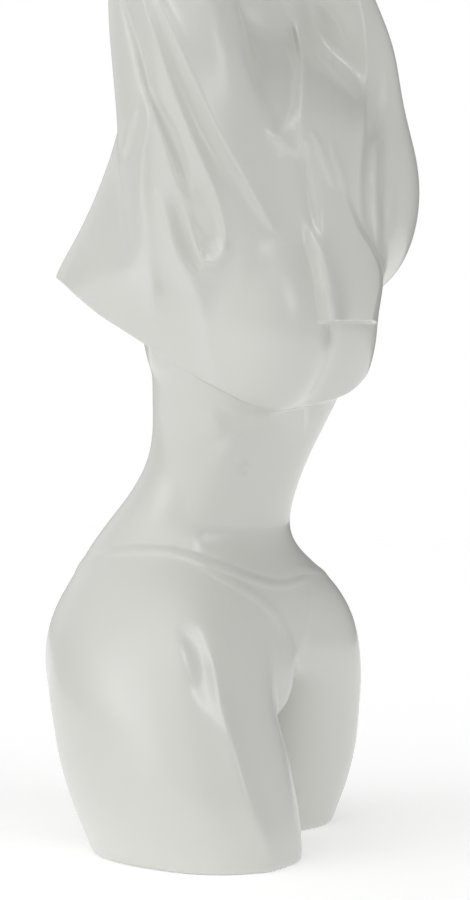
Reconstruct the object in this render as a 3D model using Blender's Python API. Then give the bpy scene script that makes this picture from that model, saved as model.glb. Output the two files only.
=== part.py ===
# Figure sculpture: a woman's torso from the thighs up, arms raised inside a short loose top, cast in one piece.
# The form is worked out as one smooth field of distances, sections stacked over its height and blended, and the
# field is then turned into a closed mesh.  Metres, Z up, the floor at 0; the figure faces -Y, its right side is -X.
# The figure's sections, places and folds are written in thousandths of its own height.

import bpy
import numpy as np

# Driving sizes, in metres.
HEIGHT = 1.000
CLOTH_THICKNESS = 0.009  # the rim of the top where it stands clear of the back
HOLLOW_DEPTH = 0.050  # how far the space under the back of the top reaches up
HEM_ROUNDING = 0.005
FOOT_ROUNDING = 0.012  # the edge round the cut thighs
CROTCH_ROUNDING = 0.012

# The folds and the hem are laid out as seen from this point: turned to the figure's right front, level with its hips.
LAYOUT_TURN = np.radians(-50.0)
LAYOUT_DISTANCE = 2.100
LAYOUT_HEIGHT = 0.360
LAYOUT_ASIDE = 0.028
ACROSS = np.array([np.cos(LAYOUT_TURN), np.sin(LAYOUT_TURN), 0.0])
TOWARD = np.array([np.sin(LAYOUT_TURN), -np.cos(LAYOUT_TURN), 0.0])

# The origin lies under the middle of the figure's box, this far from the middle of its hips, in shares of the height.
MIDDLE = np.array([0.0113, -0.0212, 0.0])

# The mesh.
GRID_STEP = 0.0042
TRIANGLES = 9600
FAIRING_STEP = 1.0  # thousandths of the height between the points of a smoothed profile

# The finish.
OFF_WHITE = (0.62, 0.62, 0.585)
GLOSS_ROUGHNESS = 0.22


# Smoothed profiles


def fair(along, values, spread):
    # Points joined by straight lines, then smoothed over the spread.
    reach = int(4 * spread / FAIRING_STEP)
    kernel = np.exp(-0.5 * (np.arange(-reach, reach + 1) * FAIRING_STEP / spread) ** 2)
    kernel /= kernel.sum()
    places = np.arange(along[0] - reach, along[-1] + reach, FAIRING_STEP)
    line = np.interp(places, along, values)
    return places, np.convolve(np.pad(line, reach, mode="edge"), kernel, mode="valid")


class Profile:
    # Several values that change smoothly with one other.

    def __init__(self, rows, spread):
        rows = np.array(rows, float)
        self.lines = [fair(rows[:, 0], column, spread) for column in rows[:, 1:].T]

    def at(self, place):
        return [np.interp(place, places, line) for places, line in self.lines]


# Joining and cutting fields: each is a distance, below nought inside


def blend(a, b, width):
    near = np.maximum(width - np.abs(a - b), 0.0) / width
    return np.minimum(a, b) - near**3 * width / 6


def cut(a, b, width):
    return -blend(-a, -b, width)


def limb(p, sections, square_front=2.0, square_back=2.0):
    # Oval sections stacked over the height: centre, half width, depth in front and depth behind.
    centre_x, centre_y, wide, front, behind = sections.at(p[..., 2])
    dx = p[..., 0] - centre_x
    dy = p[..., 1] - centre_y
    deep = np.where(dy < 0, front, behind)
    power = np.where(dy < 0, square_front, square_back)
    size = (np.abs(dx / wide) ** power + np.abs(dy / deep) ** power) ** (1 / power)
    size = np.maximum(size, 1e-6)
    return np.hypot(dx, dy) * (1 - 1 / size)


def ellipsoid(p, centre, radii):
    offset = (p - np.array(centre)) / np.array(radii)
    size = np.sqrt((offset**2).sum(-1))
    slope = np.sqrt(((offset / np.array(radii)) ** 2).sum(-1)) + 1e-9
    return size * (size - 1) / slope


def ease(x, low, high):
    t = np.clip((x - low) / (high - low), 0, 1)
    return t * t * (3 - 2 * t)


# The body: height, centre x, centre y, half width, depth in front, depth behind

THIGH_RIGHT = Profile(
    [
        (0, -82, -72, 70, 84, 114),
        (30, -87, -60, 81, 95, 113),
        (80, -90, -40, 87, 104, 109),
        (140, -90, -22, 83, 102, 106),
        (200, -84, -10, 72, 92, 102),
        (260, -70, 0, 50, 70, 76),
    ],
    16,
)
THIGH_LEFT = Profile(
    [
        (0, 97, 43, 80, 90, 92),
        (30, 96, 36, 87, 101, 99),
        (80, 95, 24, 87, 106, 104),
        (140, 90, 12, 82, 104, 104),
        (200, 84, 4, 72, 94, 98),
        (260, 70, 0, 50, 70, 76),
    ],
    16,
)
TRUNK = Profile(
    [
        (100, 0, 0, 145, 100, 90),
        (174, 1, 0, 149, 102, 98),
        (220, 0, 3, 138, 98, 103),
        (244, -1, 8, 124, 91, 96),
        (267, -3, 15, 106, 81, 85),
        (290, -2, 10, 95, 70, 75),
        (313, 0, -4, 86, 65, 68),
        (337, 0, -19, 81, 62, 64),
        (360, 0, -31, 82, 62, 64),
        (383, 0, -40, 86, 67, 70),
        (406, 0, -47, 92, 73, 76),
        (430, 0, -53, 97, 77, 80),
        (453, 0, -58, 104, 82, 82),
        (520, 0, -62, 108, 78, 84),
        (640, 0, -66, 100, 68, 72),
    ],
    12,
)

# The top and what it covers, in the same way

CHEST = Profile(
    [
        (360, 0, -43, 88, 70, 196),
        (400, 0, -47, 98, 78, 198),
        (430, 0, -55, 108, 86, 200),
        (460, 0, -60, 118, 90, 198),
        (500, 0, -64, 130, 92, 205),
        (520, 0, -66, 134, 92, 197),
        (560, 0, -68, 134, 92, 158),
        (600, 0, -71, 138, 92, 126),
        (650, 0, -73, 136, 90, 98),
        (700, 0, -66, 116, 66, 84),
        (740, 0, -50, 90, 46, 74),
    ],
    14,
)
ARM_RIGHT = Profile(
    [
        (540, -100, -78, 62, 62, 54),
        (620, -113, -80, 65, 66, 56),
        (690, -120, -78, 64, 66, 58),
        (740, -126, -74, 59, 62, 57),
        (780, -126, -68, 51, 58, 52),
        (850, -121, -48, 47, 54, 50),
        (920, -113, -18, 45, 50, 48),
        (990, -101, 10, 38, 42, 40),
    ],
    18,
)
ARM_LEFT = Profile(
    [
        (540, 112, -74, 54, 54, 56),
        (620, 122, -78, 55, 56, 58),
        (690, 115, -77, 52, 54, 58),
        (740, 107, -76, 50, 53, 56),
        (780, 91, -71, 46, 49, 54),
        (850, 56, -56, 47, 50, 52),
        (920, 2, -30, 48, 50, 50),
        (990, -66, 6, 40, 42, 42),
    ],
    18,
)
BREAST_RIGHT = ((-56, -118, 468), (58, 50, 78))
BREAST_LEFT = ((50, -96, 468), (52, 46, 75))
BUTTOCK_RIGHT = ((-56, 60, 168), (72, 56, 78))
BUTTOCK_LEFT = ((56, 60, 168), (72, 56, 78))
SIDE_FULLNESS = ((145, -50, 602), (67, 74, 98))
HOOD = ((-14, -30, 796), (84, 76, 140))
HOLLOW_FRONT = -15  # the hollow under the top lies behind this

# At the front the body fills the top, to this far under the cloth and this far below the hem.
LINING_DEPTH = 3
LINING_REACH = 14

# What fills the hollow between the thighs, at the front.
INNER_THIGH = ((-12, -82, 158), (24, 26, 40))

# The hem as laid out: distance across, height.  The near line is the figure's right front, the far line its back.
HEM_NEAR = Profile(
    [
        (-200, 557), (-138, 521), (-121, 504), (-98, 485), (-74, 470), (-54, 457), (-5, 426), (33, 406),
        (60, 396), (88, 399), (121, 407), (135, 413), (146, 422), (152, 432), (200, 500),
    ],
    6,
)
HEM_FAR = Profile(
    [
        (-200, 528), (-138, 523), (-100, 532), (-50, 535), (0, 522), (60, 492), (110, 456), (150, 434),
        (200, 425),
    ],
    10,
)

# Folds of the top as laid out.  A fold has its route, the half width and height at its upper end and at its lower
# end, a sharpness (2 is a soft swell, 1 a crisp ridge) and how much wider it is on the side left of its route.  A
# height below nought is a furrow.
FOLDS_NEAR = [
    ([(-81, 918), (-72, 834), (-58, 778), (-51, 760), (-42, 732), (-31, 699), (-18, 665), (-5, 633),
     (8, 605), (15, 581), (20, 557), (19, 540), (10, 534)], (9, 6), (9, 7), 1.25, 0.7),
    ([(-72, 918), (-59, 834), (-44, 778), (-31, 751), (-19, 723), (-5, 693), (8, 665), (22, 639),
     (35, 616), (47, 595), (58, 576), (66, 563)], (7, 5), (8, 5), 1.25, 1.3),
    ([(-51, 778), (-36, 741), (-21, 704), (-5, 667), (14, 634), (33, 606), (47, 578)], (9, -3),
     (12, -3), 2, 1),
    ([(-86, 834), (-72, 774), (-66, 755), (-60, 737), (-52, 704), (-42, 674), (-31, 646), (-22, 618),
     (-17, 597)], (5, -4), (3, -3), 1.5, 1),
    ([(-51, 685), (-40, 650), (-36, 634), (-31, 616), (-24, 597), (-18, 578), (-14, 565), (-10, 551),
     (-6, 538), (3, 529)], (6, 4), (5, 4), 1.25, 1.2),
    ([(-27, 600), (-22, 581), (-20, 563), (-15, 546), (-7, 529)], (7, -4), (7, -3), 1.8, 1),
    ([(-44, 602), (-37, 583), (-33, 565), (-25, 538), (-14, 520), (-7, 505), (-3, 488), (0, 472),
     (3, 455), (8, 438), (18, 421)], (7, 4), (11, 6), 1.3, 1.2),
    ([(-58, 693), (-53, 674), (-53, 659), (-57, 644), (-59, 620), (-59, 597), (-55, 574), (-53, 555),
     (-51, 529), (-49, 504), (-46, 476)], (5, 4), (9, 5), 1.3, 1),
    ([(-8, 602), (-1, 578), (7, 555)], (13, -4), (13, -5), 2, 1),
    ([(25, 862), (36, 806), (46, 769), (56, 741), (65, 713), (71, 690), (73, 663)], (20, -12),
     (14, -9), 2, 1),
    ([(53, 806), (62, 778), (70, 764), (76, 751), (82, 737), (86, 723), (86, 702)], (4, -5),
     (4, -5), 1.6, 1),
    ([(85, 760), (90, 727), (91, 695), (90, 667), (90, 648), (87, 633)], (9, 5), (5, 4), 1.4, 1.6),
    ([(91, 644), (91, 625), (94, 606), (97, 591), (101, 572), (108, 551)], (5, -5), (5, -4), 1.6, 1),
    ([(100, 816), (109, 778), (116, 771), (124, 760), (128, 751), (137, 736), (142, 713)], (10, 5),
     (12, 4), 1.6, 1),
    ([(140, 797), (148, 760), (151, 723), (151, 690), (148, 658), (145, 625), (145, 592), (147, 572)],
     (6, 4), (5, 4), 1.4, 0.8),
    ([(161, 797), (165, 741), (166, 713), (164, 690), (159, 665), (153, 644), (151, 625), (150, 602),
     (151, 578), (156, 555)], (6, -5), (6, -4), 1.6, 1),
    ([(101, 572), (105, 555), (110, 538), (114, 520), (117, 501), (118, 486), (117, 475)], (6, 3),
     (9, 4), 1.5, 1.3),
]
FOLDS_FAR = [
    ([(150, 820), (120, 720), (96, 640), (84, 560), (80, 490)], (9, 3), (14, 4), 1.7, 1),
    ([(110, 880), (76, 780), (48, 690), (30, 600), (22, 520)], (10, 4), (14, 4), 1.7, 1),
    ([(20, 900), (2, 800), (-18, 710), (-34, 630), (-44, 540)], (10, 4), (14, 4), 1.7, 1),
    ([(-60, 860), (-76, 770), (-88, 690), (-98, 620), (-106, 550)], (9, 3), (12, 3), 1.7, 1),
]

# Marks of the bare body in the same way: the thigh's front corner, the crease of the hip, the rib margin, the navel,
# then the brief: its waist cord and the edges of its leg openings.
MARKS_NEAR = [
    ([(7, 169), (10, 153), (13, 133), (22, 100), (39, 41), (65, -28), (74, -59)], (11, 5),
     (20, 8), 1.4, 0.7),
    ([(-18, 194), (-11, 180), (-7, 162), (1, 142), (13, 122), (20, 103)], (8, -5), (8, -3), 1.7, 1),
    ([(-29, 183), (-22, 171), (-16, 159), (-10, 146)], (9, 3), (8, 2), 1.7, 1),
    ([(7, 392), (10, 381), (11, 373)], (9, 3), (9, 3), 1.8, 1),
    ([(33, 372), (24, 362), (12, 350)], (7, 3), (7, 2), 1.8, 1),
    ([(52, 392), (40, 377), (22, 358), (6, 330), (-4, 296), (-10, 262)], (16, 3), (16, 3), 2, 1),
    ([(33, 350), (35, 340)], (5, -3), (5, -3), 2, 1),
    ([(-153, 230), (-114, 256), (-98, 263), (-73, 267), (-46, 267), (-30, 266), (-11, 260), (15, 251),
     (44, 240), (62, 234), (73, 233), (84, 235), (98, 243), (109, 248), (135, 261)], (3, 2),
     (3, 2), 2, 1),
    ([(-135, 246), (-114, 260), (-98, 268), (-73, 271), (-46, 272), (-30, 271), (-11, 265), (15, 256),
     (44, 245), (62, 239), (73, 238), (84, 240), (98, 247), (126, 261)], (2.5, -0.8), (2.5, -0.8), 2, 1),
    ([(-14, 258), (9, 245), (33, 233), (53, 219), (67, 206), (76, 189), (83, 171), (85, 157)], (3, 1.6),
     (3, 1.6), 2, 1),
    ([(109, 252), (103, 233), (97, 209), (93, 191), (88, 174), (86, 157)], (3, 1.6), (3, 1.6), 2, 1),
]
MARKS_FAR = [
    ([(-153, 269), (-117, 256), (-70, 252), (0, 253), (60, 252), (109, 248), (153, 243)], (3, 2),
     (3, 2), 2, 1),
]

# The pleat that hangs over the left breast and ends in a blunt ledge: sides as laid out, against height.
PLEAT_LEFT = Profile([(479, 119), (522, 114), (551, 107), (592, 100), (640, 96)], 5)
PLEAT_RIGHT = Profile([(479, 157), (511, 165), (527, 165), (546, 157), (565, 144), (592, 133), (640, 128)], 5)
PLEAT_LEDGE = 479
PLEAT_LIFT = 9

MAP_STEP = 1.0
MAP_LOW = np.array([-200.0, -20.0])
MAP_HIGH = np.array([230.0, 1010.0])


def smooth_route(route, count=90, reach=13):
    # A route's points joined by straight lines, cut into even steps, then smoothed.
    route = np.array(route, float)
    lengths = np.hypot(*np.diff(route, axis=0).T)
    along = np.concatenate([[0], lengths.cumsum()]) / lengths.sum()
    steps = np.linspace(0, 1, count)
    kernel = np.hanning(reach + 2)[1:-1]
    kernel /= kernel.sum()
    half = reach // 2
    columns = []
    for column in route.T:
        line = np.interp(steps, along, column)
        before = 2 * line[0] - line[half:0:-1]
        after = 2 * line[-1] - line[-2 : -half - 2 : -1]
        columns.append(np.convolve(np.concatenate([before, line, after]), kernel, mode="valid"))
    return np.stack(columns, -1)


def stroke(heights, grid, fold):
    # Adds one fold to a map of heights.  It thins out and dies away towards both ends.
    route, (width_top, height_top), (width_low, height_low), sharpness, lean = fold
    line = smooth_route(route)
    margin = 3.2 * max(width_top, width_low)
    low = ((line.min(0) - margin - MAP_LOW) / MAP_STEP).astype(int).clip(0)
    high = ((line.max(0) + margin - MAP_LOW) / MAP_STEP).astype(int).clip(0)
    box = (slice(low[0], high[0]), slice(low[1], high[1]))
    x, z = grid[0][box], grid[1][box]
    total = np.zeros(x.shape)
    for i in range(len(line) - 1):
        start, run = line[i], line[i + 1] - line[i]
        dx = x - start[0]
        dz = z - start[1]
        t = np.clip((dx * run[0] + dz * run[1]) / (run @ run), 0, 1)
        away = np.hypot(dx - t * run[0], dz - t * run[1])
        away = np.where(run[0] * dz > run[1] * dx, away / lean, away)
        place = (i + t) / (len(line) - 1)
        swell = np.sin(np.pi * np.clip(place, 0, 1)) ** 0.6
        width = (width_top + (width_low - width_top) * place) * (0.4 + 0.6 * swell)
        height = (height_top + (height_low - height_top) * place) * swell
        part = height * np.exp(-((away / width) ** sharpness))
        total = np.where(np.abs(part) > np.abs(total), part, total)
    heights[box] += total


def relief_map(folds):
    x = np.arange(MAP_LOW[0], MAP_HIGH[0], MAP_STEP)
    z = np.arange(MAP_LOW[1], MAP_HIGH[1], MAP_STEP)
    grid = np.meshgrid(x, z, indexing="ij")
    heights = np.zeros(grid[0].shape)
    for fold in folds:
        stroke(heights, grid, fold)
    return heights, grid


def pleat(grid):
    x, z = grid
    left, right = PLEAT_LEFT.at(z)[0], PLEAT_RIGHT.at(z)[0]
    sides = ease(x, left - 16, left + 4) * (1 - ease(x, right - 3, right + 4))
    lift = PLEAT_LIFT * (1 - ease(z, 500, 640))
    return lift * sides * ease(z, PLEAT_LEDGE - 1.5, PLEAT_LEDGE + 1.5)


def read_map(heights, x, z):
    # Heights between the points of a map, in proportion.
    i = np.clip((x - MAP_LOW[0]) / MAP_STEP, 0, heights.shape[0] - 1.001)
    j = np.clip((z - MAP_LOW[1]) / MAP_STEP, 0, heights.shape[1] - 1.001)
    i0, j0 = i.astype(int), j.astype(int)
    s, t = i - i0, j - j0
    low = heights[i0, j0] * (1 - s) + heights[i0 + 1, j0] * s
    high = heights[i0, j0 + 1] * (1 - s) + heights[i0 + 1, j0 + 1] * s
    return low * (1 - t) + high * t


def layout(p):
    # Where a point lies across and up in the layout, and how near it is, in thousandths of the height.
    unit = 1000.0
    across = p[..., 0] * ACROSS[0] + p[..., 1] * ACROSS[1]
    near = p[..., 0] * TOWARD[0] + p[..., 1] * TOWARD[1]
    growth = LAYOUT_DISTANCE * unit / (LAYOUT_DISTANCE * unit - near)
    aside = LAYOUT_ASIDE * unit
    level = LAYOUT_HEIGHT * unit
    return aside + (across - aside) * growth, level + (p[..., 2] - level) * growth, near


class Figure:
    # The whole figure as one field.  Points come in metres, and are worked on in thousandths of the height.

    def __init__(self):
        near, grid = relief_map(FOLDS_NEAR)
        self.near_folds = near + pleat(grid)
        self.far_folds = relief_map(FOLDS_FAR)[0]
        self.near_marks = relief_map(MARKS_NEAR)[0]
        self.far_marks = relief_map(MARKS_FAR)[0]

    def body(self, p, x, z, near):
        right = cut(limb(p, THIGH_RIGHT, 2.6, 2.1), p[..., 2] - 250, 80)
        left = cut(limb(p, THIGH_LEFT, 2.3, 2.1), p[..., 2] - 250, 80)
        legs = blend(right, left, 1000 * CROTCH_ROUNDING / HEIGHT)
        trunk = cut(limb(p, TRUNK, 2.4, 2.0), np.abs(p[..., 2] - 395) - 245, 50)
        seat = blend(ellipsoid(p, *BUTTOCK_RIGHT), ellipsoid(p, *BUTTOCK_LEFT), 8)
        form = blend(blend(legs, trunk, 50), seat, 24)
        form = blend(form, ellipsoid(p, *INNER_THIGH), 16)
        facing = ease(near, 0, 30)
        return form - facing * read_map(self.near_marks, x, z) - (1 - facing) * read_map(self.far_marks, x, z)

    def clothed(self, p, x, z, near):
        chest = cut(limb(p, CHEST, 2.0, 3.0), p[..., 2] - 730, 60)
        breasts = blend(ellipsoid(p, *BREAST_RIGHT), ellipsoid(p, *BREAST_LEFT), 20)
        right = cut(limb(p, ARM_RIGHT), np.abs(p[..., 2] - 750) - 250, 80)
        left = cut(limb(p, ARM_LEFT), np.abs(p[..., 2] - 760) - 225, 80)
        form = blend(chest, breasts, 40)
        form = blend(form, ellipsoid(p, *SIDE_FULLNESS), 60)
        form = blend(form, ellipsoid(p, *HOOD), 60)
        form = blend(form, right, 45)
        form = blend(form, left, 45)
        facing = ease(near, -10, 30)
        folds = facing * read_map(self.near_folds, x, z) + (1 - facing) * read_map(self.far_folds, x, z)
        return form, form - folds

    def under_hem(self, x, z, near):
        facing = ease(near, -80, 25)
        return facing * HEM_NEAR.at(x)[0] + (1 - facing) * HEM_FAR.at(x)[0] - z

    def __call__(self, points):
        p = (points / HEIGHT + MIDDLE) * 1000.0
        x, z, near = layout(p)
        mm = 1000.0 / HEIGHT
        plain, top = self.clothed(p, x, z, near)
        under = self.under_hem(x, z, near)
        lining = cut(plain + LINING_DEPTH, under - LINING_REACH, 40)
        front = ease(near, -40, 20) * ease(x, -74, -50) * (1 - ease(x, 92, 112))
        filled = blend(self.body(p, x, z, near), lining + 80 * (1 - front), 20)
        hollow = cut(top + mm * CLOTH_THICKNESS, -under - mm * HOLLOW_DEPTH, 10)
        hollow = cut(hollow, HOLLOW_FRONT - p[..., 1], 10)
        top = cut(top, under, mm * HEM_ROUNDING)
        top = cut(top, -hollow, 4)
        whole = blend(filled, top, 3)
        return cut(whole, -p[..., 2], mm * FOOT_ROUNDING) / mm


# From the field to a closed mesh


def sample(field, low, high, step):
    # Values on a grid: a coarse look first, then the full grid near the surface only.
    coarse = 4
    count = [int(np.ceil((b - a) / (step * coarse))) for a, b in zip(low, high)]
    axes = [a + (np.arange(n) + 0.5) * step * coarse for a, n in zip(low, count)]
    middles = np.stack(np.meshgrid(*axes, indexing="ij"), -1)
    rough = field(middles)
    values = rough.repeat(coarse, 0).repeat(coarse, 1).repeat(coarse, 2)
    close = np.abs(rough) < step * coarse * 2.0
    close = close.repeat(coarse, 0).repeat(coarse, 1).repeat(coarse, 2)
    wanted = np.argwhere(close)
    values[close] = field(np.array(low) + wanted * step)
    return values


def open_diagonals(values, step):
    # Where the inside corners of a grid square lie across its diagonal, the weaker one is put outside, so that no
    # edge of the mesh has more than two faces.
    while True:
        changed = 0
        for one, two in ((0, 1), (1, 2), (0, 2)):
            square = []
            for shift_one, shift_two in ((0, 0), (1, 0), (1, 1), (0, 1)):
                part = [slice(None)] * 3
                part[one] = slice(shift_one, values.shape[one] - 1 + shift_one)
                part[two] = slice(shift_two, values.shape[two] - 1 + shift_two)
                square.append(values[tuple(part)])
            inside = [corner < 0 for corner in square]
            crossed = (inside[0] == inside[2]) & (inside[1] == inside[3]) & (inside[0] != inside[1])
            places = np.argwhere(crossed)
            if not len(places):
                continue
            sides = np.stack([corner[crossed] for corner in square], -1)
            weakest = np.where(sides < 0, sides, -np.inf).argmax(-1)
            for n, (shift_one, shift_two) in enumerate(((0, 0), (1, 0), (1, 1), (0, 1))):
                chosen = places[weakest == n]
                chosen[:, one] += shift_one
                chosen[:, two] += shift_two
                values[tuple(chosen.T)] = 0.02 * step
            changed += len(places)
        if not changed:
            return values


def skin(values, low, step):
    # One point in each cell that the surface crosses, one four-sided face for each grid line that it crosses.
    inside = values < 0
    shape = np.array(values.shape) - 1
    corners = [(i, j, k) for i in (0, 1) for j in (0, 1) for k in (0, 1)]
    total = np.zeros(shape, int)
    for i, j, k in corners:
        total += inside[i : i + shape[0], j : j + shape[1], k : k + shape[2]]
    cells = np.argwhere((total > 0) & (total < 8))
    number = np.full(shape, -1)
    number[tuple(cells.T)] = np.arange(len(cells))
    sums = np.zeros((len(cells), 3))
    hits = np.zeros(len(cells))
    for a in corners:
        for axis in range(3):
            if a[axis]:
                continue
            b = tuple(v + (n == axis) for n, v in enumerate(a))
            va = values[tuple((cells + a).T)]
            vb = values[tuple((cells + b).T)]
            crossed = (va < 0) != (vb < 0)
            t = va[crossed] / (va[crossed] - vb[crossed])
            sums[crossed] += np.array(a) + t[:, None] * (np.array(b) - np.array(a))
            hits[crossed] += 1
    points = np.array(low) + (cells + sums / hits[:, None]) * step
    faces = []
    for axis in range(3):
        one, two = (axis + 1) % 3, (axis + 2) % 3
        start = [slice(None)] * 3
        end = [slice(None)] * 3
        start[axis] = slice(0, -1)
        end[axis] = slice(1, None)
        first, second = inside[tuple(start)], inside[tuple(end)]
        lines = np.argwhere(first != second)
        outward = first[tuple(lines.T)]
        ring = []
        for shift_one, shift_two in ((0, 0), (1, 0), (1, 1), (0, 1)):
            cell = lines.copy()
            cell[:, one] -= shift_one
            cell[:, two] -= shift_two
            ring.append(number[tuple(cell.T)])
        ring = np.stack(ring, -1)
        ring[~outward] = ring[~outward][:, ::-1]
        faces.append(ring)
    return points, np.concatenate(faces)


def settle(field, points, rounds=2):
    # Moves the points onto the surface.
    nudge = 0.0006
    for _ in range(rounds):
        value = field(points)
        slope = [(field(points + nudge * axis) - field(points - nudge * axis)) / (2 * nudge) for axis in np.eye(3)]
        slope = np.stack(slope, -1)
        away = value / np.maximum((slope**2).sum(-1), 0.25)
        points = points - np.clip(away, -0.002, 0.002)[:, None] * slope
    return points


def mesh_of(field, low, high, step, triangles):
    values = open_diagonals(sample(field, low, high, step), step)
    points, faces = skin(values, low, step)
    points = settle(field, points)
    points[points[:, 2] < 0.0006, 2] = 0.0
    mesh = bpy.data.meshes.new("fine")
    mesh.from_pydata(points.tolist(), [], faces.tolist())
    fine = bpy.data.objects.new("fine", mesh)
    bpy.context.scene.collection.objects.link(fine)
    fewer = fine.modifiers.new("fewer", "DECIMATE")
    fewer.ratio = triangles / (2 * len(faces))
    fewer.use_collapse_triangulate = True
    graph = bpy.context.evaluated_depsgraph_get()
    light = bpy.data.meshes.new_from_object(fine.evaluated_get(graph))
    bpy.data.objects.remove(fine)
    for vertex in light.vertices:
        if vertex.co.z < 0.0008:
            vertex.co.z = 0.0
    return light


def off_white():
    material = bpy.data.materials.new("off_white_gloss")
    material.use_nodes = True
    shader = material.node_tree.nodes["Principled BSDF"]
    shader.inputs["Base Color"].default_value = (*OFF_WHITE, 1.0)
    shader.inputs["Roughness"].default_value = GLOSS_ROUGHNESS
    shader.inputs["Metallic"].default_value = 0.0
    material.diffuse_color = (*OFF_WHITE, 1.0)
    return material


def build():
    for old in list(bpy.data.objects):
        bpy.data.objects.remove(old)
    low = (-0.24 * HEIGHT, -0.26 * HEIGHT, -0.02 * HEIGHT)
    high = (0.24 * HEIGHT, 0.22 * HEIGHT, 1.03 * HEIGHT)
    mesh = mesh_of(Figure(), low, high, GRID_STEP * HEIGHT, TRIANGLES)
    mesh.name = "figure"
    mesh.materials.append(off_white())
    figure = bpy.data.objects.new("figure", mesh)
    bpy.context.scene.collection.objects.link(figure)


build()
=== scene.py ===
# Figure sculpture: a woman's torso in a short loose top, arms raised inside it, cast in one piece and finished in
# white gloss. The form is worked out as one field of distances in thousandths of the figure's height, and the field
# is turned into a fine mesh that stands for the CAD solid. The figure faces -Y and its right side is -X.
import math
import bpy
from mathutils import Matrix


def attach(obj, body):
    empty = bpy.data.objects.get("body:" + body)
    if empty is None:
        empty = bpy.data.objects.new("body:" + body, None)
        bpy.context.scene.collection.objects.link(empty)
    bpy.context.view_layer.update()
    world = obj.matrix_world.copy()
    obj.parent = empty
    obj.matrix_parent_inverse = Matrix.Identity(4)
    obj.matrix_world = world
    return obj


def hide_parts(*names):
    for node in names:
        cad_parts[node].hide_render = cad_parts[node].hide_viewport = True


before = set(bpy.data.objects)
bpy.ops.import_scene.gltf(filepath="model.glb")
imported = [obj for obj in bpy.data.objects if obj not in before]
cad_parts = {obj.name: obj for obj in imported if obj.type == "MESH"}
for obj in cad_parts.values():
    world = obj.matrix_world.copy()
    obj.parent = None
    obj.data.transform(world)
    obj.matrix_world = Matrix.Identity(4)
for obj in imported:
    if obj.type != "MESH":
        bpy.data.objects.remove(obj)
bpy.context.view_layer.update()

from concurrent.futures import ThreadPoolExecutor

import bpy
import numpy as np
from mathutils import Vector

# The view that the folds are laid out in, which is the photograph's too: turned to the figure's right front.
view = {
    "turn": math.radians(-50.0),
    "distance": 2.100,  # this and the next two are in shares of the figure's height
    "height": 0.360,
    "aside": 0.028,
    "lens": 90.32,  # on a sensor 36 mm high
    "sensor": 36.0,
}
across = np.array([math.cos(view["turn"]), math.sin(view["turn"]), 0.0])
toward = np.array([math.sin(view["turn"]), -math.cos(view["turn"]), 0.0])

# The figure. Sizes are in metres, and everything in figureShape is in thousandths of the height.
figureSize = {
    "height": 1.000,
    "middle": (0.0113, -0.0212, 0.0),  # from the middle of the hips to the middle of the box, in shares of the height
    "fieldLow": (-0.24, -0.26, -0.02),  # the corners of the space that is searched, in the same shares
    "fieldHigh": (0.24, 0.22, 1.03),
    "clothThickness": 0.009,
    "hollowDepth": 0.050,  # how far the space under the back of the top reaches up
    "hemRounding": 0.003,
    "footRounding": 0.010,
    "crotchRounding": 0.012,
    "gridStep": 0.0018,
    "triangles": 194000,
    "mapStep": 0.5,  # this and the next two are in thousandths of the height
    "fairingStep": 1.0,
    "crestRadius": 1.6,  # rounds the top of a sharp fold
    "furthestMove": 0.001,  # how far a point may settle in one round
    "flatUnder": (0.0004, 0.0005),  # points lower than this lie on the floor, before and after the mesh is thinned
}
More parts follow.
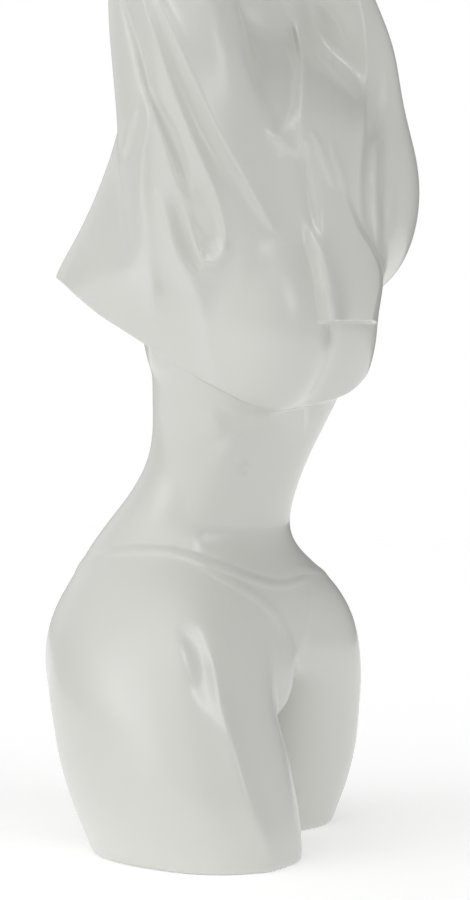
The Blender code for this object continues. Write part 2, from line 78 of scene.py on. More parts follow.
# Limbs: height, middle across, middle front to back, half width, depth in front and behind, and then how widely the
# rows are smoothed. Ovals: middle and half sizes. Hems and pleat edges: pairs, and how widely they are smoothed.
figureShape = {
    "thighRight": ([
        (0, -82, -72, 70, 84, 114), (30, -87, -60, 81, 95, 113), (80, -90, -40, 87, 104, 109),
        (140, -90, -22, 83, 102, 106), (200, -84, -10, 72, 92, 102), (260, -70, 0, 50, 70, 76),
    ], 16),
    "thighLeft": ([
        (0, 97, 43, 80, 90, 92), (30, 96, 36, 87, 101, 99), (80, 95, 24, 87, 106, 104),
        (140, 90, 12, 82, 104, 104), (200, 84, 4, 72, 94, 98), (260, 70, 0, 50, 70, 76),
    ], 16),
    "trunk": ([
        (100, 0, 0, 145, 100, 90), (174, 1, 0, 149, 102, 98), (220, 0, 3, 138, 98, 103),
        (244, -1, 8, 124, 91, 96), (267, -3, 15, 106, 81, 85), (290, -2, 10, 95, 70, 75),
        (313, 0, -4, 86, 65, 68), (337, 0, -19, 81, 62, 64), (360, 0, -31, 82, 62, 64),
        (383, 0, -40, 86, 67, 70), (406, 0, -47, 92, 73, 76), (430, 0, -53, 97, 77, 80),
        (453, 0, -58, 104, 82, 82), (520, 0, -62, 108, 78, 84), (640, 0, -66, 100, 68, 72),
    ], 12),
    "chest": ([
        (360, 0, -43, 88, 70, 196), (400, 0, -47, 98, 78, 198), (430, 0, -55, 108, 86, 200),
        (460, 0, -60, 118, 90, 198), (500, 0, -64, 130, 92, 205), (520, 0, -66, 134, 92, 197),
        (560, 0, -68, 134, 92, 158), (600, 0, -71, 138, 92, 126), (650, 0, -73, 136, 90, 98),
        (700, 0, -66, 116, 66, 84), (740, 0, -50, 90, 46, 74),
    ], 14),
    "armRight": ([
        (540, -100, -78, 62, 62, 54), (620, -113, -80, 65, 66, 56), (690, -120, -78, 64, 66, 58),
        (740, -126, -74, 59, 62, 57), (780, -126, -68, 51, 58, 52), (850, -121, -48, 47, 54, 50),
        (920, -113, -18, 45, 50, 48), (990, -101, 10, 38, 42, 40),
    ], 18),
    "armLeft": ([
        (540, 112, -74, 54, 54, 56), (620, 122, -78, 55, 56, 58), (690, 115, -77, 52, 54, 58),
        (740, 107, -76, 50, 53, 56), (780, 91, -71, 46, 49, 54), (850, 56, -56, 47, 50, 52),
        (920, 2, -30, 48, 50, 50), (990, -66, 6, 40, 42, 42),
    ], 18),
    "breastRight": ((-56, -118, 468), (58, 50, 78)),
    "breastLeft": ((50, -96, 468), (52, 46, 75)),
    "buttockRight": ((-56, 60, 168), (72, 56, 78)),
    "buttockLeft": ((56, 60, 168), (72, 56, 78)),
    "sideFullness": ((145, -50, 602), (67, 74, 98)),
    "hood": ((-14, -30, 796), (84, 76, 140)),
    "innerThigh": ((-12, -82, 158), (24, 26, 40)),
    "hemNear": ([
        (-200, 557), (-138, 521), (-121, 504), (-98, 485), (-74, 470), (-54, 457), (-5, 426), (33, 406),
        (60, 396), (88, 399), (121, 407), (135, 413), (146, 422), (152, 432), (200, 500),
    ], 6),
    "hemFar": ([
        (-200, 528), (-138, 523), (-100, 532), (-50, 535), (0, 522), (60, 492), (110, 456), (150, 434),
        (200, 425),
    ], 10),
    # Folds and marks: the route as seen, across and up, then width and height where it starts and where it ends,
    # how rounded the crest is, and how much wider its left side is. A height below nought is a furrow.
    "foldsNear": [  # the long crests from the near shoulder come first, then the valley, the far side and the pleat
        ([(-81, 918), (-72, 834), (-58, 778), (-51, 760), (-42, 732), (-31, 699), (-18, 665), (-5, 633), (8, 605),
         (15, 581), (20, 557), (19, 540), (10, 534)], (11, 9), (11, 10), 1.1, 0.8),
        ([(-72, 918), (-59, 834), (-44, 778), (-31, 751), (-19, 723), (-5, 693), (8, 665), (22, 639), (35, 616),
         (47, 595), (58, 576), (66, 563)], (8, 8), (9, 8), 1.1, 1.2),
        ([(-51, 778), (-36, 741), (-21, 704), (-5, 667), (14, 634), (33, 606), (47, 578)], (9, -4), (13, -5), 2, 1),
        ([(-86, 834), (-72, 774), (-66, 755), (-60, 737), (-52, 704), (-42, 674), (-31, 646), (-22, 618),
         (-17, 597)], (5, -6), (4, -5), 1.5, 1),
        ([(-42, 681), (-34, 669), (-27, 653), (-21, 634), (-17, 613), (-14, 594)], (3, -3), (3, -3), 1.5, 1),
        ([(-51, 685), (-40, 650), (-36, 634), (-31, 616), (-24, 597), (-18, 578), (-14, 565), (-10, 551),
         (-6, 538), (3, 529)], (7, 6), (6, 6), 1.15, 1.2),
        ([(-27, 600), (-22, 581), (-20, 563), (-15, 546), (-7, 529)], (7, -6), (7, -5), 1.8, 1),
        ([(-44, 602), (-37, 583), (-33, 565), (-25, 538), (-14, 520), (-7, 505), (-3, 488), (0, 472), (3, 455),
         (8, 438), (18, 421)], (8, 9), (14, 8), 1.3, 1.2),
        ([(-58, 693), (-53, 674), (-53, 659), (-57, 644), (-59, 620), (-59, 597), (-55, 574), (-53, 555),
         (-51, 529), (-49, 504), (-46, 476)], (6, 8), (13, 6), 1.3, 1),
        ([(-64, 674), (-71, 658), (-75, 643), (-81, 630)], (5, 3), (6, 2), 1.6, 1),
        ([(-60, 674), (-65, 656), (-69, 637), (-71, 611)], (5, -2), (6, -1), 1.8, 1),
        ([(-8, 602), (-1, 578), (7, 555)], (13, -5), (13, -7), 2, 1),
        ([(20, 551), (17, 540), (8, 533), (-1, 535), (-7, 544)], (6, 4), (6, 4), 1.3, 1),
        ([(25, 862), (36, 806), (46, 769), (56, 741), (65, 713), (71, 690), (73, 663)], (22, -18), (15, -13), 2, 1),
        ([(53, 806), (62, 778), (70, 764), (76, 751), (82, 737), (86, 723), (86, 702)], (5, -4), (5, -4), 1.6, 1),
        ([(55, 797), (59, 778), (67, 762), (73, 746), (79, 730), (85, 711)], (3, 2), (3, 2), 1.5, 1),
        ([(86, 678), (81, 665), (77, 656), (73, 646), (69, 635)], (5, 3), (6, 3), 1.5, 1),
        ([(59, 661), (65, 652), (74, 644), (82, 639)], (5, 2), (5, 2), 1.6, 1),
        ([(85, 760), (90, 727), (91, 695), (90, 667), (90, 648), (87, 633)], (9, 7), (5, 6), 1.2, 1.6),
        ([(91, 644), (91, 625), (94, 606), (97, 591), (101, 572), (108, 551)], (5, -5), (5, -4), 1.6, 1),
        ([(100, 656), (107, 642), (111, 631), (115, 620), (120, 605)], (4, 3), (5, 2), 1.3, 1),
        ([(119, 646), (121, 632), (124, 625), (128, 613), (133, 598)], (4, 3), (5, 2), 1.3, 1),
        ([(100, 816), (109, 778), (116, 771), (124, 760), (128, 751), (137, 736), (142, 713)], (10, 5),
         (12, 4), 1.6, 1),
        ([(140, 797), (148, 760), (151, 723), (151, 690), (148, 658), (145, 625), (145, 592), (147, 572)], (6, 4),
         (5, 4), 1.4, 0.8),
        ([(161, 797), (165, 741), (166, 713), (164, 690), (159, 665), (153, 644), (151, 625), (150, 602),
         (151, 578), (156, 555)], (6, -5), (6, -4), 1.6, 1),
        ([(176, 723), (180, 699), (179, 681), (176, 662), (171, 644), (168, 620), (167, 592), (169, 566)],
         (5, -3), (6, -2), 1.6, 1),
        ([(159, 639), (159, 611), (160, 583), (162, 551)], (4, 2), (4, 2), 1.6, 1),
        ([(176, 611), (173, 583), (172, 551)], (5, 2), (5, 2), 1.6, 1),
        ([(101, 572), (105, 555), (110, 538), (114, 520), (117, 501), (118, 486), (117, 475)], (6, 3),
         (9, 4), 1.5, 1.3),
    ],
    "foldsFar": [
        ([(150, 820), (120, 720), (96, 640), (84, 560), (80, 490)], (9, 3), (14, 4), 1.7, 1),
        ([(110, 880), (76, 780), (48, 690), (30, 600), (22, 520)], (10, 4), (14, 4), 1.7, 1),
        ([(20, 900), (2, 800), (-18, 710), (-34, 630), (-44, 540)], (10, 4), (14, 4), 1.7, 1),
        ([(-60, 860), (-76, 770), (-88, 690), (-98, 620), (-106, 550)], (9, 3), (12, 3), 1.7, 1),
    ],
    "marksNear": [  # the thigh's ridge and furrows, the rib, the navel and belly, the cord, the edges of the brief
        ([(7, 169), (10, 153), (13, 133), (22, 100), (39, 41), (65, -28), (74, -59)], (11, 5), (20, 8), 1.4, 0.7),
        ([(-18, 194), (-11, 180), (-7, 162), (1, 142), (13, 122), (20, 103)], (11, -3), (11, -1.6), 2, 1),
        ([(-29, 183), (-22, 171), (-16, 159), (-10, 146)], (10, 2.6), (9, 1.8), 1.8, 1),
        ([(7, 392), (10, 381), (11, 373)], (9, 4), (9, 4), 1.8, 1),
        ([(33, 372), (24, 362), (12, 350)], (8, 3.6), (8, 3.6), 1.8, 1),
        ([(52, 392), (40, 377), (22, 358), (6, 330), (-4, 296), (-10, 262)], (16, 3), (16, 3), 2, 1),
        ([(33, 350), (35, 340)], (5, -3), (5, -3), 2, 1),
        ([(-153, 230), (-114, 256), (-98, 263), (-73, 267), (-46, 267), (-30, 266), (-11, 260), (15, 251),
         (44, 240), (62, 234), (73, 233), (84, 235), (98, 243), (109, 248), (135, 261)], (3, 1.4), (3, 1.4), 2, 1),
        ([(-135, 246), (-114, 260), (-98, 268), (-73, 271), (-46, 272), (-30, 271), (-11, 265), (15, 256),
         (44, 245), (62, 239), (73, 238), (84, 240), (98, 247), (126, 261)], (2.5, -0.6), (2.5, -0.6), 2, 1),
        ([(-14, 258), (9, 245), (33, 233), (53, 219), (67, 206), (76, 189), (83, 171), (85, 157)], (3, 1),
         (3, 1), 2, 1),
        ([(109, 252), (103, 233), (97, 209), (93, 191), (88, 174), (86, 157)], (3, 1), (3, 1), 2, 1),
    ],
    "marksFar": [
        ([(-153, 269), (-117, 256), (-70, 252), (0, 253), (60, 252), (109, 248), (153, 243)], (3, 1.4),
         (3, 1.4), 2, 1),
    ],
    "pleatLeft": ([(479, 119), (522, 114), (551, 107), (592, 100), (640, 96)], 5),
    "pleatRight": ([(479, 157), (511, 165), (527, 165), (546, 157), (565, 144), (592, 133), (640, 128)], 5),
    "pleatLedge": 479,
    "pleatLift": 9,
    "pleatFades": (500, 640),
    "pleatSlopes": ((-16, 4), (-3, 4)),  # where each side's slope starts and ends, from its edge
    "ledgeSlope": 1.5,
    "hollowFront": -15,  # the hollow under the top lies behind this
    "bodyEnds": 720,  # above this only the top is worked out, and below the next only the body
    "topStarts": 330,
    "liningDepth": 3,  # at the front the body fills the top to this far under the cloth, and a little below the hem
    "liningReach": 14,
    "liningSides": ((-74, -50), (92, 112)),  # where it starts and ends, across as seen
    "liningAway": 80,
    # how near a point has to lie for the far side's marks, folds, hem and lining to give way to the near side's
    "turns": {"marks": (0, 30), "folds": (-10, 30), "hem": (-80, 25), "lining": (-40, 20)},
    # how square a limb's sections are in front and behind, where 2 is an oval
    "square": {"thighRight": (2.6, 2.1), "thighLeft": (2.3, 2.1), "trunk": (2.4, 2.0), "chest": (2.0, 3.0)},
    # where a limb ends below and above, and how softly
    "ends": {
        "thighRight": (None, 250, 80), "thighLeft": (None, 250, 80), "trunk": (150, 640, 50),
        "chest": (None, 730, 60), "armRight": (500, 1000, 80), "armLeft": (535, 985, 80),
    },
    # how widely the parts run into each other
    "joins": {
        "buttocks": 8, "trunk": 50, "seat": 24, "innerThigh": 16, "breasts": 20, "chest": 40, "side": 60,
        "hood": 60, "arms": 45, "lining": 20, "liningEdge": 40, "hollow": 10, "hollowRim": 4, "top": 3,
    },
}
mapLow = np.array([-200.0, -20.0])  # the corners of the maps of folds and marks, across and up as seen
mapHigh = np.array([230.0, 1010.0])


def fairLine(along, values, spread):
    # points joined by straight lines, then smoothed over the spread
    step = figureSize["fairingStep"]
    reach = int(4 * spread / step)
    kernel = np.exp(-0.5 * (np.arange(-reach, reach + 1) * step / spread) ** 2)
    kernel /= kernel.sum()
    places = np.arange(along[0] - reach, along[-1] + reach, step)
    line = np.interp(places, along, values)
    return places, np.convolve(np.pad(line, reach, mode="edge"), kernel, mode="valid")


def makeProfile(rows, spread):
    # several values that change smoothly with one other
    rows = np.array(rows, float)
    return [fairLine(rows[:, 0], column, spread) for column in rows[:, 1:].T]


tableStart, tableEnd = -260, 1160
lastCell = 1.001  # keeps a place that is looked up inside the last cell of a table or map


def makeTable(rows, spread):
    # the same values at every thousandth, one row each
    places = np.arange(tableStart, tableEnd)
    return np.stack([np.interp(places, *line) for line in makeProfile(rows, spread)])


tables = {name: makeTable(*figureShape[name]) for name in (
    "thighRight", "thighLeft", "trunk", "chest", "armRight", "armLeft", "hemNear", "hemFar", "pleatLeft",
    "pleatRight",
)}


def tablePlace(place):
    # the row before a place in the tables, and how far past it the place lies
    i = np.clip(place - tableStart, 0, tableEnd - tableStart - lastCell)
    whole = i.astype(int)
    return whole, i - whole


def readTable(name, place):
    i, t = place
    return tables[name][:, i] * (1 - t) + tables[name][:, i + 1] * t


def blendFields(a, b, width):
    # both forms together, with a soft corner between them
    near = np.maximum(width - np.abs(a - b), 0.0) / width
    return np.minimum(a, b) - near**3 * width / 6


def cutFields(a, b, width):
    # what the two forms share, with a soft edge
    return -blendFields(-a, -b, width)


def limbField(p, name):
    # oval sections stacked over the height, cut off softly at the ends
    centreX, centreY, wide, front, behind = readTable(name, p[3])
    squareFront, squareBack = figureShape["square"].get(name, (2.0, 2.0))
    dx = p[0] - centreX
    dy = p[1] - centreY
    ahead = dy < 0
    deep = np.where(ahead, front, behind)
    if squareFront == squareBack == 2.0:
        size = np.sqrt((dx / wide) ** 2 + (dy / deep) ** 2)
    else:
        power = np.where(ahead, squareFront, squareBack)
        size = (np.abs(dx / wide) ** power + np.abs(dy / deep) ** power) ** (1 / power)
    size = np.maximum(size, 1e-6)
    sides = np.sqrt(dx**2 + dy**2) * (1 - 1 / size)
    low, high, soft = figureShape["ends"][name]
    beyond = p[2] - high if low is None else np.abs(p[2] - (low + high) / 2) - (high - low) / 2
    return cutFields(sides, beyond, soft)


def ovalField(p, name):
    # an egg-shaped form
    centre, radii = figureShape[name]
    offset = [(p[n] - centre[n]) / radii[n] for n in range(3)]
    size = np.sqrt(offset[0] ** 2 + offset[1] ** 2 + offset[2] ** 2)
    slope = np.sqrt((offset[0] / radii[0]) ** 2 + (offset[1] / radii[1]) ** 2 + (offset[2] / radii[2]) ** 2) + 1e-9
    return size * (size - 1) / slope


def ease(x, low, high):
    # from 0 to 1 between the two, softly
    t = np.clip((x - low) / (high - low), 0, 1)
    return t * t * (3 - 2 * t)


def smoothRoute(route, count=90, reach=13):
    # a fold's points joined by straight lines, cut into even steps, then smoothed
    route = np.array(route, float)
    lengths = np.hypot(*np.diff(route, axis=0).T)
    along = np.concatenate([[0], lengths.cumsum()]) / lengths.sum()
    steps = np.linspace(0, 1, count)
    kernel = np.hanning(reach + 2)[1:-1]
    kernel /= kernel.sum()
    half = reach // 2
    columns = []
    for column in route.T:
        line = np.interp(steps, along, column)
        before = 2 * line[0] - line[half:0:-1]
        after = 2 * line[-1] - line[-2 : -half - 2 : -1]
        columns.append(np.convolve(np.concatenate([before, line, after]), kernel, mode="valid"))
    return np.stack(columns, -1)


foldEnds = {"reach": 3.2, "swellPower": 0.6, "thinnest": 0.4}  # reach and thinnest are in shares of the fold's width


def strokeFold(heights, grid, fold):
    # adds one fold to a map of heights: it thins out and dies away towards both ends
    route, (widthTop, heightTop), (widthLow, heightLow), sharpness, lean = fold
    line = smoothRoute(route)
    margin = foldEnds["reach"] * max(widthTop, widthLow)
    step = figureSize["mapStep"]
    total = np.zeros(heights.shape)
    for i in range(len(line) - 1):
        start, run = line[i], line[i + 1] - line[i]
        low = ((np.minimum(start, line[i + 1]) - margin - mapLow) / step).astype(int).clip(0)
        high = ((np.maximum(start, line[i + 1]) + margin - mapLow) / step).astype(int).clip(0)
        box = (slice(low[0], high[0]), slice(low[1], high[1]))
        x, z = grid[0][box] - start[0], grid[1][box] - start[1]
        t = np.clip((x * run[0] + z * run[1]) / (run @ run), 0, 1)
        away = np.sqrt((x - t * run[0]) ** 2 + (z - t * run[1]) ** 2)
        away = np.where(run[0] * z > run[1] * x, away / lean, away)
        away = np.sqrt(away**2 + figureSize["crestRadius"] ** 2) - figureSize["crestRadius"]
        place = (i + t) / (len(line) - 1)
        swell = np.sin(np.pi * np.clip(place, 0, 1)) ** foldEnds["swellPower"]
        width = widthTop + (widthLow - widthTop) * place
        width = width * (foldEnds["thinnest"] + (1 - foldEnds["thinnest"]) * swell)
        height = (heightTop + (heightLow - heightTop) * place) * swell
        part = height * np.exp(-((away / width) ** sharpness))
        total[box] = np.where(np.abs(part) > np.abs(total[box]), part, total[box])
    heights += total


def reliefMap(folds):
    # the heights of all the folds over the figure as seen
    step = figureSize["mapStep"]
    x = np.arange(mapLow[0], mapHigh[0], step)
    z = np.arange(mapLow[1], mapHigh[1], step)
    grid = np.meshgrid(x, z, indexing="ij")
    heights = np.zeros(grid[0].shape)
    for fold in folds:
        strokeFold(heights, grid, fold)
    return heights, grid


def pleatMap(grid):
    # the pleat that hangs over the left breast and ends in a blunt ledge
    x, z = grid
    left, right = readTable("pleatLeft", tablePlace(z))[0], readTable("pleatRight", tablePlace(z))[0]
    rise, fall = figureShape["pleatSlopes"]
    sides = ease(x, left + rise[0], left + rise[1]) * (1 - ease(x, right + fall[0], right + fall[1]))
    lift = figureShape["pleatLift"] * (1 - ease(z, *figureShape["pleatFades"]))
    ledge, slope = figureShape["pleatLedge"], figureShape["ledgeSlope"]
    return lift * sides * ease(z, ledge - slope, ledge + slope)


nearFolds, mapGrid = reliefMap(figureShape["foldsNear"])
nearFolds += pleatMap(mapGrid)
farFolds = reliefMap(figureShape["foldsFar"])[0]
nearMarks = reliefMap(figureShape["marksNear"])[0]
farMarks = reliefMap(figureShape["marksFar"])[0]
print("fold maps", nearFolds.shape)


def readMap(heights, x, z):
    # a map's height at any place
    step = figureSize["mapStep"]
    i = np.clip((x - mapLow[0]) / step, 0, heights.shape[0] - lastCell)
    j = np.clip((z - mapLow[1]) / step, 0, heights.shape[1] - lastCell)
    i0, j0 = i.astype(int), j.astype(int)
    s, t = i - i0, j - j0
    low = heights[i0, j0] * (1 - s) + heights[i0 + 1, j0] * s
    high = heights[i0, j0 + 1] * (1 - s) + heights[i0 + 1, j0 + 1] * s
    return low * (1 - t) + high * t


def layoutPlace(p):
    # where a point lies across and up as seen, and how near it is
    near = p[0] * toward[0] + p[1] * toward[1]
    lateral = p[0] * across[0] + p[1] * across[1]
    distance, aside, level = 1000 * view["distance"], 1000 * view["aside"], 1000 * view["height"]
    growth = distance / (distance - near)
    return aside + (lateral - aside) * growth, level + (p[2] - level) * growth, near


def bodyField(p, x, z, near):
    # the thighs, seat and trunk with their marks
    joins = figureShape["joins"]
    crotch = 1000 * figureSize["crotchRounding"] / figureSize["height"]
    legs = blendFields(limbField(p, "thighRight"), limbField(p, "thighLeft"), crotch)
    seat = blendFields(ovalField(p, "buttockRight"), ovalField(p, "buttockLeft"), joins["buttocks"])
    form = blendFields(blendFields(legs, limbField(p, "trunk"), joins["trunk"]), seat, joins["seat"])
    form = blendFields(form, ovalField(p, "innerThigh"), joins["innerThigh"])
    facing = ease(near, *figureShape["turns"]["marks"])
    return form - facing * readMap(nearMarks, x, z) - (1 - facing) * readMap(farMarks, x, z)


def topField(p, x, z, near):
    # the chest, breasts and arms under the loose top, without and with its folds
    joins = figureShape["joins"]
    breasts = blendFields(ovalField(p, "breastRight"), ovalField(p, "breastLeft"), joins["breasts"])
    form = blendFields(limbField(p, "chest"), breasts, joins["chest"])
    form = blendFields(form, ovalField(p, "sideFullness"), joins["side"])
    form = blendFields(form, ovalField(p, "hood"), joins["hood"])
    form = blendFields(form, limbField(p, "armRight"), joins["arms"])
    form = blendFields(form, limbField(p, "armLeft"), joins["arms"])
    facing = ease(near, *figureShape["turns"]["folds"])
    folds = facing * readMap(nearFolds, x, z) + (1 - facing) * readMap(farFolds, x, z)
    return form, form - folds


def figureField(points):
    # the distance to the figure's surface, below nought inside
    p = [(points[:, n] / figureSize["height"] + figureSize["middle"][n]) * 1000.0 for n in range(3)]
    p.append(tablePlace(p[2]))
    x, z, near = layoutPlace(p)
    mm = 1000.0 / figureSize["height"]
    joins = figureShape["joins"]
    if p[2].min() > figureShape["bodyEnds"]:
        whole = np.full(x.shape, 1000.0)
    else:
        whole = bodyField(p, x, z, near)
    if p[2].max() > figureShape["topStarts"]:
        plain, top = topField(p, x, z, near)
        facing = ease(near, *figureShape["turns"]["hem"])
        seenPlace = tablePlace(x)
        hem = facing * readTable("hemNear", seenPlace)[0] + (1 - facing) * readTable("hemFar", seenPlace)[0]
        under = hem - z
        lining = plain + figureShape["liningDepth"]
        lining = cutFields(lining, under - figureShape["liningReach"], joins["liningEdge"])
        starts, ends = figureShape["liningSides"]
        free = 1 - ease(near, *figureShape["turns"]["lining"]) * ease(x, *starts) * (1 - ease(x, *ends))
        whole = blendFields(whole, lining + figureShape["liningAway"] * free, joins["lining"])
        deepest = -under - mm * figureSize["hollowDepth"]
        hollow = cutFields(top + mm * figureSize["clothThickness"], deepest, joins["hollow"])
        hollow = cutFields(hollow, figureShape["hollowFront"] - p[1], joins["hollow"])
        top = cutFields(top, under, mm * figureSize["hemRounding"])
        top = cutFields(top, -hollow, joins["hollowRim"])
        whole = blendFields(whole, top, joins["top"])
    return cutFields(whole, -p[2], mm * figureSize["footRounding"]) / mm


def fieldAt(points, pieceSize=12000, workers=4):
    # the field in pieces of nearly one height each, side by side
    flat = points.reshape(-1, 3)
    order = np.argsort(flat[:, 2], kind="stable")
    pieces = np.array_split(order, max(1, len(order) // pieceSize))
    values = np.empty(len(flat))

    def fill(piece):
        values[piece] = figureField(flat[piece])

    with ThreadPoolExecutor(workers) as pool:
        list(pool.map(fill, pieces))
    return values.reshape(points.shape[:-1])


def sampleField(low, high, step, coarsest=4, cellDiagonal=1.7):
    # values on a grid: coarse looks first, then the full grid near the surface only
    size = step * coarsest
    count = np.ceil((np.array(high) - low) / size).astype(int)
    axes = [low[n] + (np.arange(count[n]) + 0.5) * size for n in range(3)]
    values = fieldAt(np.stack(np.meshgrid(*axes, indexing="ij"), -1))
    for level in (2, 1):
        size = step * level
        close = np.abs(values) < 2 * size * cellDiagonal
        for axis in range(3):
            values = values.repeat(2, axis)
            close = close.repeat(2, axis)
        wanted = np.argwhere(close)
        shift = 0.5 if level > 1 else 0.0
        values[close] = fieldAt(np.array(low) + (wanted + shift) * size)
    return values


squareCorners = ((0, 0), (1, 0), (1, 1), (0, 1))


def openDiagonals(values, step):
    # where inside corners of a grid square lie across its diagonal the weaker one is put outside, so that no edge of
    # the mesh has more than two faces
    while True:
        changed = 0
        for one, two in ((0, 1), (1, 2), (0, 2)):
            square = []
            for shiftOne, shiftTwo in squareCorners:
                part = [slice(None)] * 3
                part[one] = slice(shiftOne, values.shape[one] - 1 + shiftOne)
                part[two] = slice(shiftTwo, values.shape[two] - 1 + shiftTwo)
                square.append(values[tuple(part)])
            inside = [corner < 0 for corner in square]
            crossed = (inside[0] == inside[2]) & (inside[1] == inside[3]) & (inside[0] != inside[1])
            places = np.argwhere(crossed)
            if not len(places):
                continue
            sides = np.stack([corner[crossed] for corner in square], -1)
            weakest = np.where(sides < 0, sides, -np.inf).argmax(-1)
            for n, (shiftOne, shiftTwo) in enumerate(squareCorners):
                chosen = places[weakest == n]
                chosen[:, one] += shiftOne
                chosen[:, two] += shiftTwo
                values[tuple(chosen.T)] = 0.02 * step  # just outside
            changed += len(places)
        if not changed:
            return values


def skinGrid(values, low, step):
    # one point in each cell that the surface crosses, one four-sided face for each grid line that it crosses
    inside = values < 0
    shape = np.array(values.shape) - 1
    corners = [(i, j, k) for i in (0, 1) for j in (0, 1) for k in (0, 1)]
    total = np.zeros(shape, np.int8)
    for i, j, k in corners:
        total += inside[i : i + shape[0], j : j + shape[1], k : k + shape[2]]
    cells = np.argwhere((total > 0) & (total < 8))
    number = np.full(shape, -1)
    number[tuple(cells.T)] = np.arange(len(cells))
    sums = np.zeros((len(cells), 3))
    hits = np.zeros(len(cells))
    for a in corners:
        for axis in range(3):
            if a[axis]:
                continue
            b = tuple(v + (n == axis) for n, v in enumerate(a))
            va = values[tuple((cells + a).T)]
            vb = values[tuple((cells + b).T)]
            crossed = (va < 0) != (vb < 0)
            t = va[crossed] / (va[crossed] - vb[crossed])
            sums[crossed] += np.array(a) + t[:, None] * (np.array(b) - np.array(a))
            hits[crossed] += 1
    points = np.array(low) + (cells + sums / hits[:, None]) * step
    faces = []
    for axis in range(3):
        one, two = (axis + 1) % 3, (axis + 2) % 3
        start = [slice(None)] * 3
        end = [slice(None)] * 3
        start[axis] = slice(0, -1)
        end[axis] = slice(1, None)
        first, second = inside[tuple(start)], inside[tuple(end)]
        lines = np.argwhere(first != second)
        outward = first[tuple(lines.T)]
        ring = []
        for shiftOne, shiftTwo in squareCorners:
            cell = lines.copy()
            cell[:, one] -= shiftOne
            cell[:, two] -= shiftTwo
            ring.append(number[tuple(cell.T)])
        ring = np.stack(ring, -1)
        ring[~outward] = ring[~outward][:, ::-1]
        faces.append(ring)
    return points, np.concatenate(faces)


def fieldSlope(points, nudge=0.0003):
    # the field and its slope, from four points round each point
    value, slope = 0.0, 0.0
    for side in ((1, -1, -1), (-1, -1, 1), (-1, 1, -1), (1, 1, 1)):
        there = fieldAt(points + nudge * np.array(side, float))
        value = value + there / 4
        slope = slope + there[:, None] * np.array(side, float) / (4 * nudge)
    return value, slope


def settlePoints(points, rounds, flatUnder):
    # moves the points onto the surface, and the lowest ones onto the floor
    furthest = figureSize["furthestMove"]
    for _ in range(rounds):
        value, slope = fieldSlope(points)
        away = value / np.maximum((slope**2).sum(-1), 0.25)
        points = points - np.clip(away, -furthest, furthest)[:, None] * slope
    points[points[:, 2] < flatUnder, 2] = 0.0
    return points


def meshFigure():
    # a fine skin over the field, thinned out, settled onto the field again and shaded by its slope
    height, step = figureSize["height"], figureSize["gridStep"] * figureSize["height"]
    low = np.array(figureSize["fieldLow"]) * height
    high = np.array(figureSize["fieldHigh"]) * height
    values = openDiagonals(sampleField(low, high, step), step)
    points, faces = skinGrid(values, low, step)
    points = settlePoints(points, 2, figureSize["flatUnder"][0])
    print("figure skin", len(points), "points")
    fineMesh = bpy.data.meshes.new("fine")
    fineMesh.from_pydata(points.tolist(), [], faces.tolist())
    fine = bpy.data.objects.new("fine", fineMesh)
    bpy.context.scene.collection.objects.link(fine)
    fewer = fine.modifiers.new("fewer", "DECIMATE")
    fewer.ratio = min(1.0, figureSize["triangles"] / (2 * len(faces)))
    fewer.use_collapse_triangulate = True
    graph = bpy.context.evaluated_depsgraph_get()
    mesh = bpy.data.meshes.new_from_object(fine.evaluated_get(graph))
    bpy.data.objects.remove(fine)
    bpy.data.meshes.remove(fineMesh)
    mesh.name = "castFigure"
    points = np.empty(len(mesh.vertices) * 3)
    mesh.vertices.foreach_get("co", points)
    points = settlePoints(points.reshape(-1, 3), 1, figureSize["flatUnder"][1])
    mesh.vertices.foreach_set("co", points.ravel())
    mesh.shade_smooth()
    mesh.update()
    slope = fieldSlope(points)[1]
    slope /= np.linalg.norm(slope, axis=1)[:, None]
    mesh.normals_split_custom_set_from_vertices(slope.tolist())
    print("figure mesh", len(mesh.polygons), "triangles")
    return mesh


figure = bpy.data.objects.new("figure_cast", meshFigure())
bpy.context.scene.collection.objects.link(figure)


# The finish: an off-white gloss lacquer over a cast, slightly uneven skin.
lacquerLook = {
    "colour": (0.66, 0.66, 0.625, 1.0),
    "shade": (0.60, 0.60, 0.565, 1.0),
    "roughness": (0.285, 0.355),
    "coat": 0.5,
    "coatRoughness": 0.14,
    "waviness": 0.0009,  # metres
    "wavinessStrength": 0.35,
    "tintNoise": (4.0, 3.0),  # scale and detail
    "smearNoise": (14.0, 4.0),
    "waveNoise": (28.0, 2.0),
}


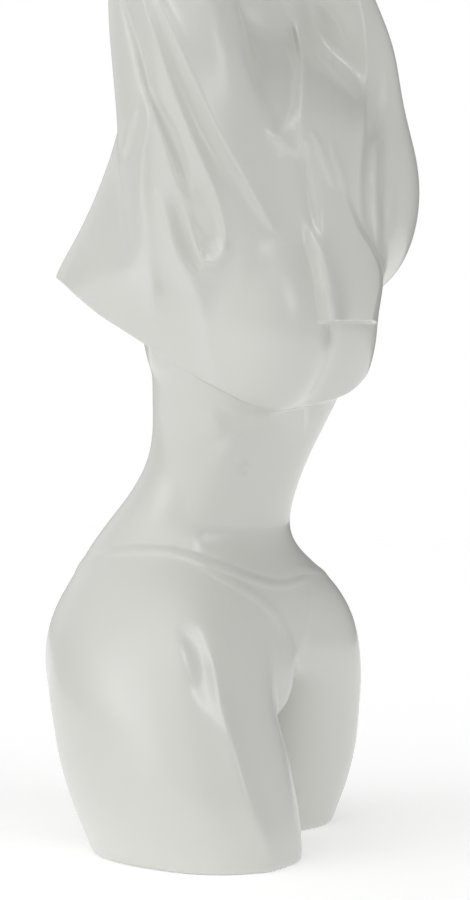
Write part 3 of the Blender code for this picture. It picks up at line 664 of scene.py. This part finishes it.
def makeLacquer():
    material = bpy.data.materials.new("off_white_lacquer")
    material.use_nodes = True
    nodes, links = material.node_tree.nodes, material.node_tree.links
    shader = nodes["Principled BSDF"]
    place = nodes.new("ShaderNodeTexCoord")

    def noiseOn(scale, detail):
        noise = nodes.new("ShaderNodeTexNoise")
        noise.inputs["Scale"].default_value = scale
        noise.inputs["Detail"].default_value = detail
        links.new(place.outputs["Object"], noise.inputs["Vector"])
        return noise.outputs["Fac"]

    tint = nodes.new("ShaderNodeMix")
    tint.data_type = "RGBA"
    tint.inputs[6].default_value = lacquerLook["shade"]
    tint.inputs[7].default_value = lacquerLook["colour"]
    links.new(noiseOn(*lacquerLook["tintNoise"]), tint.inputs[0])
    links.new(tint.outputs[2], shader.inputs["Base Color"])
    gloss = nodes.new("ShaderNodeMapRange")
    gloss.inputs["From Min"].default_value = 0.0
    gloss.inputs["From Max"].default_value = 1.0
    gloss.inputs["To Min"].default_value = lacquerLook["roughness"][0]
    gloss.inputs["To Max"].default_value = lacquerLook["roughness"][1]
    links.new(noiseOn(*lacquerLook["smearNoise"]), gloss.inputs["Value"])
    links.new(gloss.outputs["Result"], shader.inputs["Roughness"])
    bump = nodes.new("ShaderNodeBump")
    bump.inputs["Strength"].default_value = lacquerLook["wavinessStrength"]
    bump.inputs["Distance"].default_value = lacquerLook["waviness"]
    links.new(noiseOn(*lacquerLook["waveNoise"]), bump.inputs["Height"])
    links.new(bump.outputs["Normal"], shader.inputs["Normal"])
    shader.inputs["Coat Weight"].default_value = lacquerLook["coat"]
    shader.inputs["Coat Roughness"].default_value = lacquerLook["coatRoughness"]
    shader.inputs["Metallic"].default_value = 0.0
    return material


figure.data.materials.append(makeLacquer())
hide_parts("figure")
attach(figure, "root")
print("figure done")

# The floor and the light: a white room lit by soft glows with no edges, three of them narrow, for the crests.
stageSize = {
    "floor": 6.0,  # metres from the middle to each side
    "floorColour": (0.93, 0.93, 0.93, 1.0),
    "floorRoughness": 0.8,
    "floorGlow": 0.30,
    "roomSeen": 1.0,  # how bright the room behind the figure is to the camera
    # sideways and up as the photographer sees it, in degrees (0 is behind the camera), narrowness and strength
    "glows": [
        (5, 65, 6, 0.92), (-15, 35, 6, 0.80), (-75, 35, 6, 0.77), (-150, 35, 6, 0.60), (115, 5, 6, 0.50),
        (-150, 8, 6, 0.40), (45, 41, 110, 5.0), (66, 17, 120, 3.0), (-55, 12, 20, 1.5), (-72, 12, 100, 1.5),
        (80, -30, 6, 0.34), (40, 10, 6, 0.10),
    ],
}
white = (1.0, 1.0, 1.0, 1.0)
floorMesh = bpy.data.meshes.new("floor")
reach = stageSize["floor"]
floorCorners = [(-reach, -reach, 0), (reach, -reach, 0), (reach, reach, 0), (-reach, reach, 0)]
floorMesh.from_pydata(floorCorners, [], [(0, 1, 2, 3)])
floor = bpy.data.objects.new("floor", floorMesh)
bpy.context.scene.collection.objects.link(floor)
floorPaint = bpy.data.materials.new("pale_floor")
floorPaint.use_nodes = True
floorShader = floorPaint.node_tree.nodes["Principled BSDF"]
floorShader.inputs["Base Color"].default_value = stageSize["floorColour"]
floorShader.inputs["Roughness"].default_value = stageSize["floorRoughness"]
floorShader.inputs["Emission Color"].default_value = white
floorShader.inputs["Emission Strength"].default_value = stageSize["floorGlow"]
floorMesh.materials.append(floorPaint)

world = bpy.data.worlds.new("studio")
world.use_nodes = True
bpy.context.scene.world = world
worldNodes, worldLinks = world.node_tree.nodes, world.node_tree.links
lit = worldNodes["Background"]
lit.inputs["Color"].default_value = white
direction = worldNodes.new("ShaderNodeTexCoord").outputs["Generated"]


def worldMath(operation, a, b=None):
    # a and b are numbers or other nodes' outputs
    node = worldNodes.new("ShaderNodeMath")
    node.operation = operation
    for socket, value in zip(node.inputs, (a, b)):
        if isinstance(value, float):
            socket.default_value = value
        elif value is not None:
            worldLinks.new(value, socket)
    return node.outputs[0]


glow = None
for sideways, up, narrowness, strength in stageSize["glows"]:
    turned, raised = math.radians(sideways), math.radians(up)
    aim = (across * math.sin(turned) + toward * math.cos(turned)) * math.cos(raised)
    dot = worldNodes.new("ShaderNodeVectorMath")
    dot.operation = "DOT_PRODUCT"
    dot.inputs[1].default_value = (aim[0], aim[1], math.sin(raised))
    worldLinks.new(direction, dot.inputs[0])
    aside = worldMath("MULTIPLY", worldMath("SUBTRACT", dot.outputs["Value"], 1.0), float(narrowness))
    one = worldMath("MULTIPLY", worldMath("EXPONENT", aside), strength)
    glow = one if glow is None else worldMath("ADD", glow, one)
worldLinks.new(glow, lit.inputs["Strength"])
seen = worldNodes.new("ShaderNodeBackground")
seen.inputs["Color"].default_value = white
seen.inputs["Strength"].default_value = stageSize["roomSeen"]
rays = worldNodes.new("ShaderNodeLightPath")
mixed = worldNodes.new("ShaderNodeMixShader")
worldLinks.new(rays.outputs["Is Camera Ray"], mixed.inputs["Fac"])
worldLinks.new(lit.outputs["Background"], mixed.inputs[1])
worldLinks.new(seen.outputs["Background"], mixed.inputs[2])
worldLinks.new(mixed.outputs["Shader"], worldNodes["World Output"].inputs["Surface"])

boxMiddle = Vector(figureSize["middle"]) * figureSize["height"]
camera = bpy.data.objects.new("camera", bpy.data.cameras.new("camera"))
camera.location = (Vector(toward) * view["distance"] + Vector(across) * view["aside"]
                   + Vector((0, 0, view["height"]))) * figureSize["height"] - boxMiddle
camera.rotation_euler = (-Vector(toward)).to_track_quat("-Z", "Y").to_euler()
camera.data.lens = view["lens"]
camera.data.sensor_fit = "VERTICAL"
camera.data.sensor_height = view["sensor"]
camera.data.sensor_width = view["sensor"]
camera.data.dof.use_dof = False
bpy.context.scene.collection.objects.link(camera)
bpy.context.scene.camera = camera
bpy.context.scene.view_settings.view_transform = "Standard"
print("stage, light and camera done")
